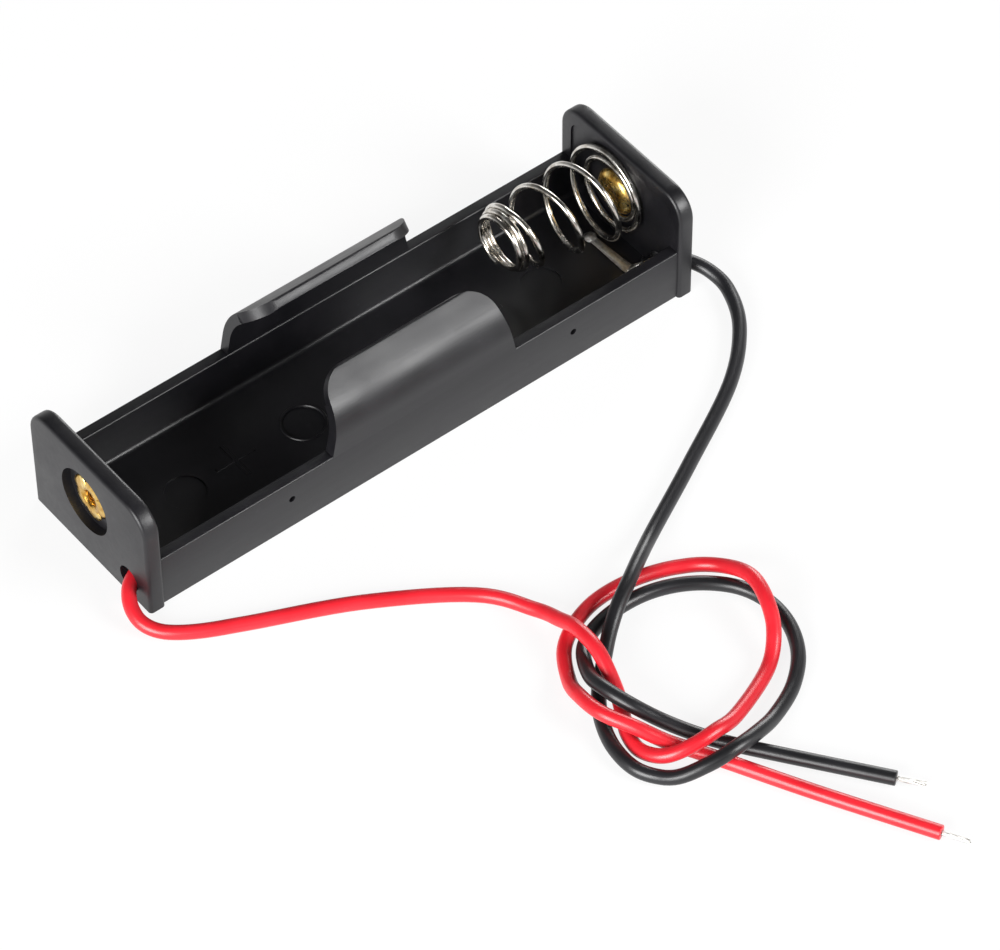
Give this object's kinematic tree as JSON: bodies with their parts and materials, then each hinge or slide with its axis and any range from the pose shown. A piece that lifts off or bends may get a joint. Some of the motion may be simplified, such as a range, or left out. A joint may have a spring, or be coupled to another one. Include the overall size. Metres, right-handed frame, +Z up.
{
  "type": "single cylindrical cell holder with wire leads",
  "caption": "Open moulded tray for one cylindrical cell: side lips, riveted contacts, conical contact spring and knotted wire leads.",
  "frame": {"origin": "middle of the tray's flat underside", "axes": "+X along the cell towards the spring end, +Y across the tray away from the leads, +Z up out of the open tray"},
  "size_m": [0.0561, 0.0685, 0.0108],
  "materials": {
    "moulding": "satin black moulded ABS",
    "brass": "bright pressed brass",
    "spring_wire": "bright nickel-plated spring wire",
    "red_insulation": "glossy red PVC",
    "black_insulation": "satin black PVC",
    "tinned_core": "dull tinned copper strands"
  },
  "bodies": {
    "tray": {"housing": "moulding", "positive_rivet": "brass", "negative_rivet": "brass", "red_lead": "red_insulation", "red_lead_tip": "tinned_core", "red_inner_core": "tinned_core", "black_lead": "black_insulation", "black_lead_tip": "tinned_core", "black_inner_core": "tinned_core"},
    "spring": {"contact_spring": "spring_wire"}
  },
  "joints": [
    {"name": "spring_compression", "type": "slide", "parent": "tray", "child": "spring", "axis": [1, 0, 0], "range_m": [0, 0.0071], "stiffness_N_per_m": 400, "deforming": ["contact_spring"]}
  ]
}
